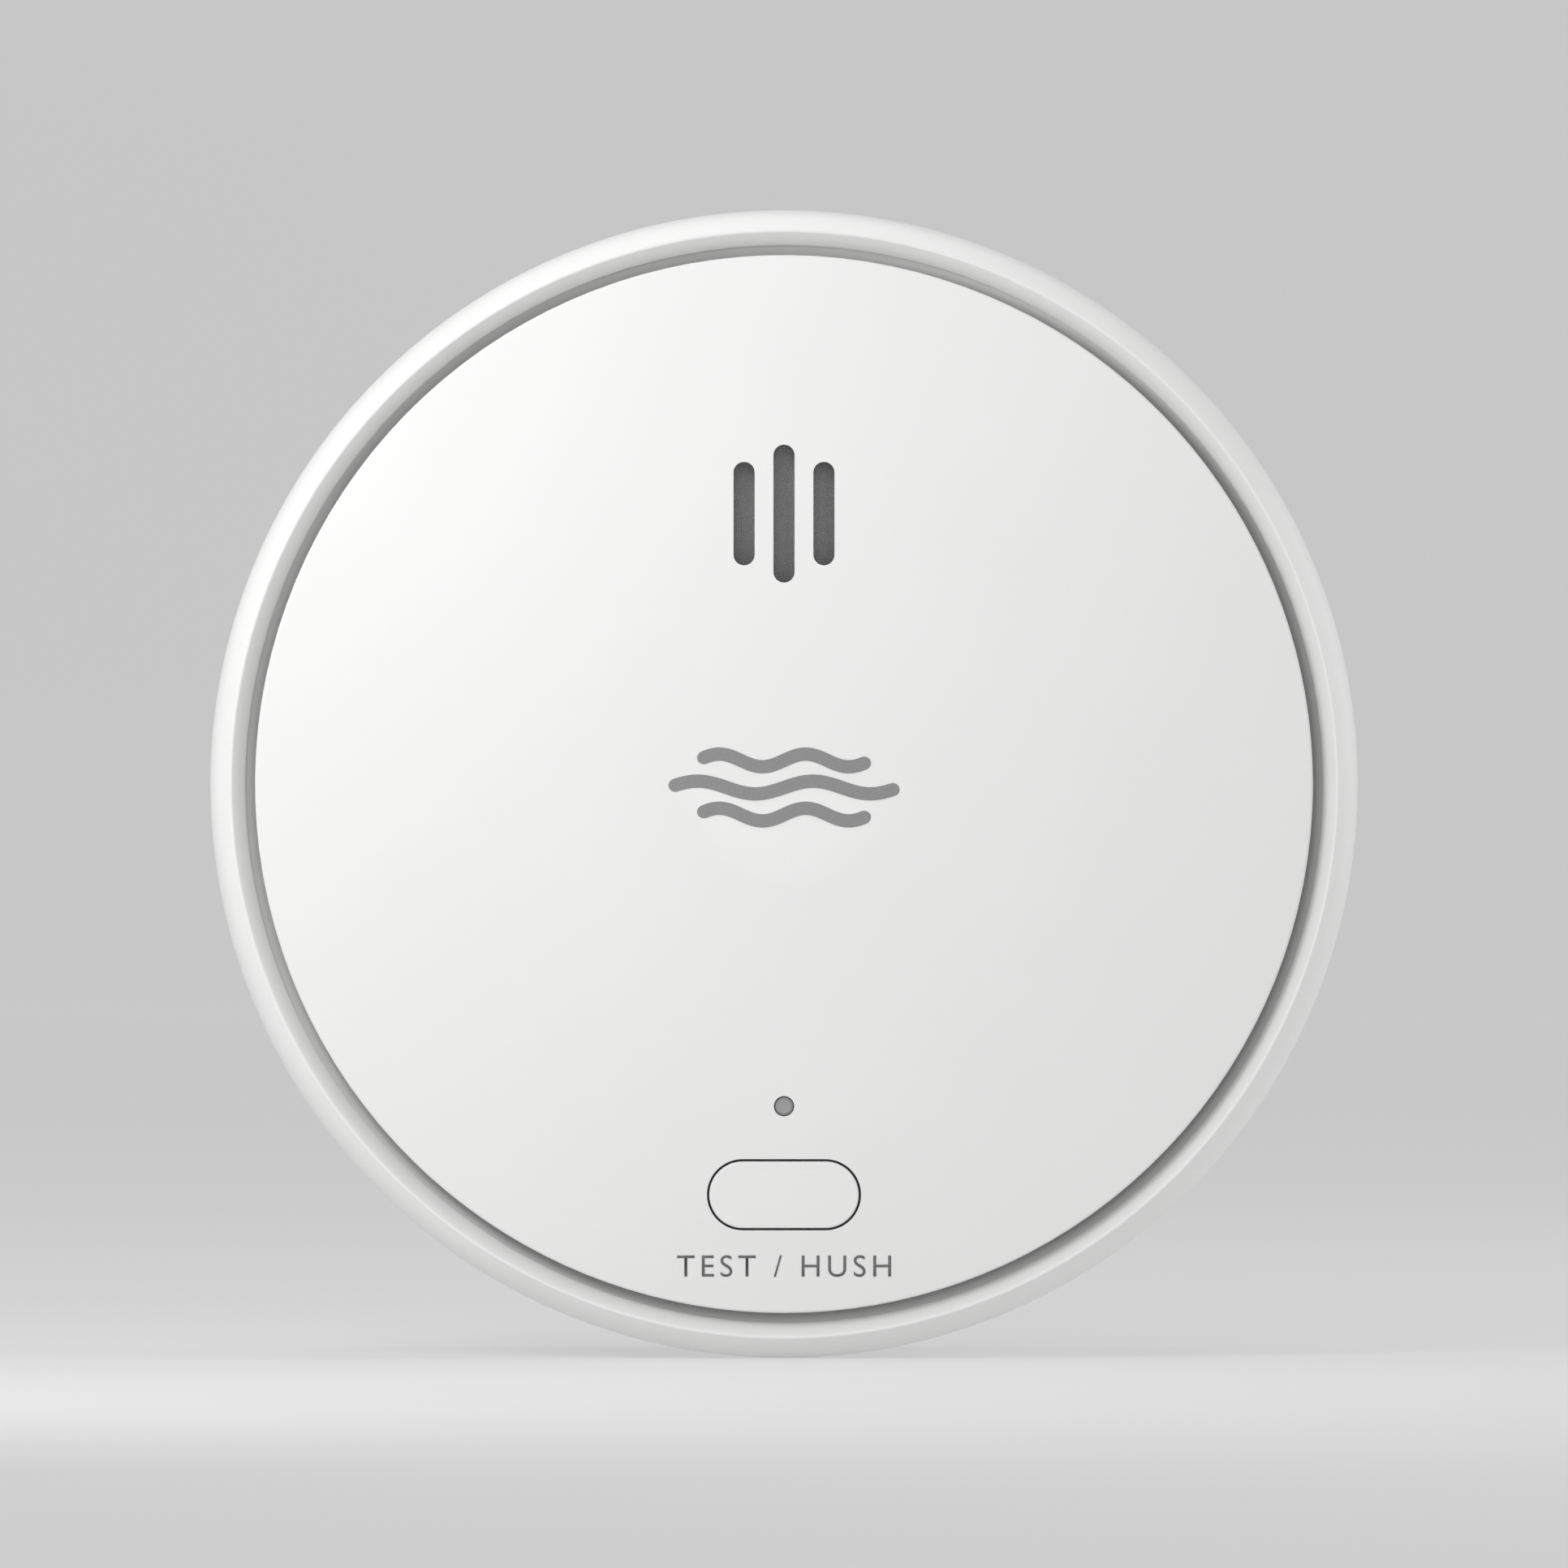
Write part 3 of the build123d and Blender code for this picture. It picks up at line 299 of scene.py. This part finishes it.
def lay_on_disc(obj):
    """Turns a flat X-Y mesh into a film of ink that follows the disc's front."""
    for vertex in obj.data.vertices:
        x, z, lift = vertex.co.x, vertex.co.y, vertex.co.z
        vertex.co = Vector((x, disc_front(x, z) - lift, z))


def text_mesh(name, words, width, centre, spacing):
    """Flat lettering as a mesh, scaled to a width and centred at (x, z)."""
    curve = bpy.data.curves.new(name, "FONT")
    curve.body = words
    curve.size = LETTER_SIZE
    curve.space_character = spacing
    curve.resolution_u = 6
    curve.offset = -STROKE_TRIM
    source = bpy.data.objects.new(name + "_source", curve)
    bpy.context.scene.collection.objects.link(source)
    bpy.context.view_layer.update()
    graph = bpy.context.evaluated_depsgraph_get()
    mesh = bpy.data.meshes.new_from_object(source.evaluated_get(graph))
    bpy.data.objects.remove(source)
    xs = [v.co.x for v in mesh.vertices]
    ys = [v.co.y for v in mesh.vertices]
    scale = width / (max(xs) - min(xs))
    for v in mesh.vertices:
        v.co.x = (v.co.x - (max(xs) + min(xs)) / 2) * scale + centre[0]
        v.co.y = (v.co.y - (max(ys) + min(ys)) / 2) * scale + centre[1]
    return mesh


def film(name, mesh, material):
    """A film of ink on the disc from a flat mesh."""
    obj = bpy.data.objects.new(name, mesh)
    bpy.context.scene.collection.objects.link(obj)
    mesh.materials.clear()
    mesh.materials.append(material)
    solid = obj.modifiers.new("thickness", "SOLIDIFY")
    solid.thickness = INK_T
    solid.offset = 1.0
    return obj


LEGEND_W, LEGEND_Z, LEGEND_SPACING = 18.6 * MM, -41.9 * MM, 1.27
legend_mesh = text_mesh("button_legend", "TEST / HUSH", LEGEND_W, (0, LEGEND_Z), LEGEND_SPACING)
legend = film("button_legend", legend_mesh, ink("print_ink", PRINT_GREY))
lay_on_disc(legend)
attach(legend, "detector")


BANDS = ((15 * MM, 2.05 * MM), (20 * MM, -0.3 * MM), (15 * MM, -2.65 * MM))  # length and height of each
BAND_W, BAND_SWELL, BAND_WAVES = 1.15 * MM, 0.55 * MM, 2
BAND_STEPS = 96
TIP_HALF = 0.001 * MM  # half the width left at a band's very tip


def wave_band(length, height):
    """Vertices and faces of one wavy band with rounded ends, flat in X-Y and stepped finer at its ends."""
    points = []
    for i in range(BAND_STEPS + 1):
        t = (1 - math.cos(math.pi * i / BAND_STEPS)) / 2
        phase = 2 * math.pi * BAND_WAVES * t
        x, y = (t - 0.5) * length, height + BAND_SWELL * math.sin(phase)
        slope = BAND_SWELL * 2 * math.pi * BAND_WAVES / length * math.cos(phase)
        norm = math.hypot(1, slope)
        half, end = BAND_W / 2, min(t, 1 - t) * length
        if end < half:
            half = math.sqrt(max(0.0, half**2 - (half - end) ** 2))
        half = max(half, TIP_HALF)
        points.append((x - slope / norm * half, y + half / norm, 0))
        points.append((x + slope / norm * half, y - half / norm, 0))
    faces = [(2 * i, 2 * i + 1, 2 * i + 3, 2 * i + 2) for i in range(BAND_STEPS)]
    return points, faces


vertices, polygons = [], []
for length, height in BANDS:
    points, faces = wave_band(length, height)
    polygons += [tuple(i + len(vertices) for i in face) for face in faces]
    vertices += points
mark_mesh = bpy.data.meshes.new("smoke_mark")
mark_mesh.from_pydata(vertices, [], polygons)
mark = film("smoke_mark", mark_mesh, ink("mark_ink", MARK_GREY))
lay_on_disc(mark)
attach(mark, "detector")

# ------------------------------------------------------------------ stage, light and camera
FLOOR_Z = cad_low.z
STAGE_R, BEND_R, STAGE_TOP = 3.2, 1.0, 1.3
FLOOR_RINGS = (0.3, 0.8, STAGE_R - BEND_R)
BEND_STEPS, RING_STEPS = 12, 96
PAPER_GREY, PAPER_GLOW = 0.30, 0.42  # the paper is lit through, like a light tent
SKY_STRENGTH = 0.42


def stage_bowl():
    """A pale floor that curves up into a wall all round."""
    profile = [(radius, 0) for radius in FLOOR_RINGS]
    for i in range(1, BEND_STEPS + 1):
        turn = math.pi / 2 * i / BEND_STEPS
        profile.append((STAGE_R - BEND_R + BEND_R * math.sin(turn), BEND_R * (1 - math.cos(turn))))
    profile.append((STAGE_R, STAGE_TOP))
    points = [(0, 0, FLOOR_Z)]
    for radius, height in profile:
        for k in range(RING_STEPS):
            a = 2 * math.pi * k / RING_STEPS
            points.append((radius * math.cos(a), radius * math.sin(a), FLOOR_Z + height))
    faces = [(0, 1 + k, 1 + (k + 1) % RING_STEPS) for k in range(RING_STEPS)]
    for row in range(len(profile) - 1):
        for k in range(RING_STEPS):
            a = 1 + row * RING_STEPS + k
            b = 1 + row * RING_STEPS + (k + 1) % RING_STEPS
            faces.append((a, a + RING_STEPS, b + RING_STEPS, b))
    mesh = bpy.data.meshes.new("stage_bowl")
    mesh.from_pydata(points, [], faces)
    for polygon in mesh.polygons:
        polygon.use_smooth = True
    obj = bpy.data.objects.new("stage_bowl", mesh)
    bpy.context.scene.collection.objects.link(obj)
    material, tree, shader = new_material("stage_paper")
    fibre = remap(tree, noise(tree, 3), 0, 1)
    base = mix_colours(tree, fibre, (PAPER_GREY,) * 3, (PAPER_GREY + 0.01,) * 3)
    tree.links.new(base, shader.inputs["Base Color"])
    shader.inputs["Roughness"].default_value = 0.9
    shader.inputs["Specular IOR Level"].default_value = 0.1
    shader.inputs["Emission Color"].default_value = (1, 1, 1, 1)
    shader.inputs["Emission Strength"].default_value = PAPER_GLOW
    mesh.materials.append(material)
    return obj


stage_bowl()

world = bpy.data.worlds.new("studio")
bpy.context.scene.world = world
world.use_nodes = True
world.node_tree.nodes["Background"].inputs[0].default_value = (1, 1, 1, 1)
world.node_tree.nodes["Background"].inputs[1].default_value = SKY_STRENGTH


def area_light(name, place, aim, size, watts):
    """A square soft light at a place, turned to a point, that no camera sees."""
    lamp = bpy.data.lights.new(name, "AREA")
    lamp.shape = "SQUARE"
    lamp.size = size
    lamp.energy = watts
    obj = bpy.data.objects.new(name, lamp)
    bpy.context.scene.collection.objects.link(obj)
    obj.location = place
    obj.rotation_euler = (Vector(aim) - Vector(place)).to_track_quat("-Z", "Y").to_euler()
    obj.visible_camera = False


CENTRE = (0.0, cad_low.y / 2, 0.0)
LIGHTS = {  # place, size and watts of each
    "key": ((-0.112, -0.17, 0.092), 0.10, 0.192),
    "front": ((0.0, -1.6, 0.25), 0.9, 2.6),
    "left_rim": ((-0.5, 0.04, 0.05), 0.5, 0.2),
    "right_rim": ((0.5, 0.04, 0.05), 0.5, 1.05),
    "top_rim": ((0.0, 0.0, 0.55), 0.5, 0.75),
}
for name, (place, size, watts) in LIGHTS.items():
    area_light(name, place, CENTRE, size, watts)

LENS, SENSOR = 400.0, 36.0
SHARE = 0.732  # the alarm's width as a share of the picture's
RIM_BACK = 4.4 * MM  # the alarm is at its full width this far behind its front
camera_data = bpy.data.cameras.new("camera")
camera_data.lens = LENS
camera_data.sensor_width = SENSOR
camera = bpy.data.objects.new("camera", camera_data)
bpy.context.scene.collection.objects.link(camera)
distance = (cad_high.x - cad_low.x) / SHARE * LENS / SENSOR
camera.location = (0.0, cad_low.y + RIM_BACK - distance, 0.0)
camera.rotation_euler = (math.pi / 2, 0, 0)
camera_data.clip_start = 0.01
camera_data.clip_end = 20
bpy.context.scene.camera = camera
bpy.context.scene.view_settings.view_transform = "Standard"
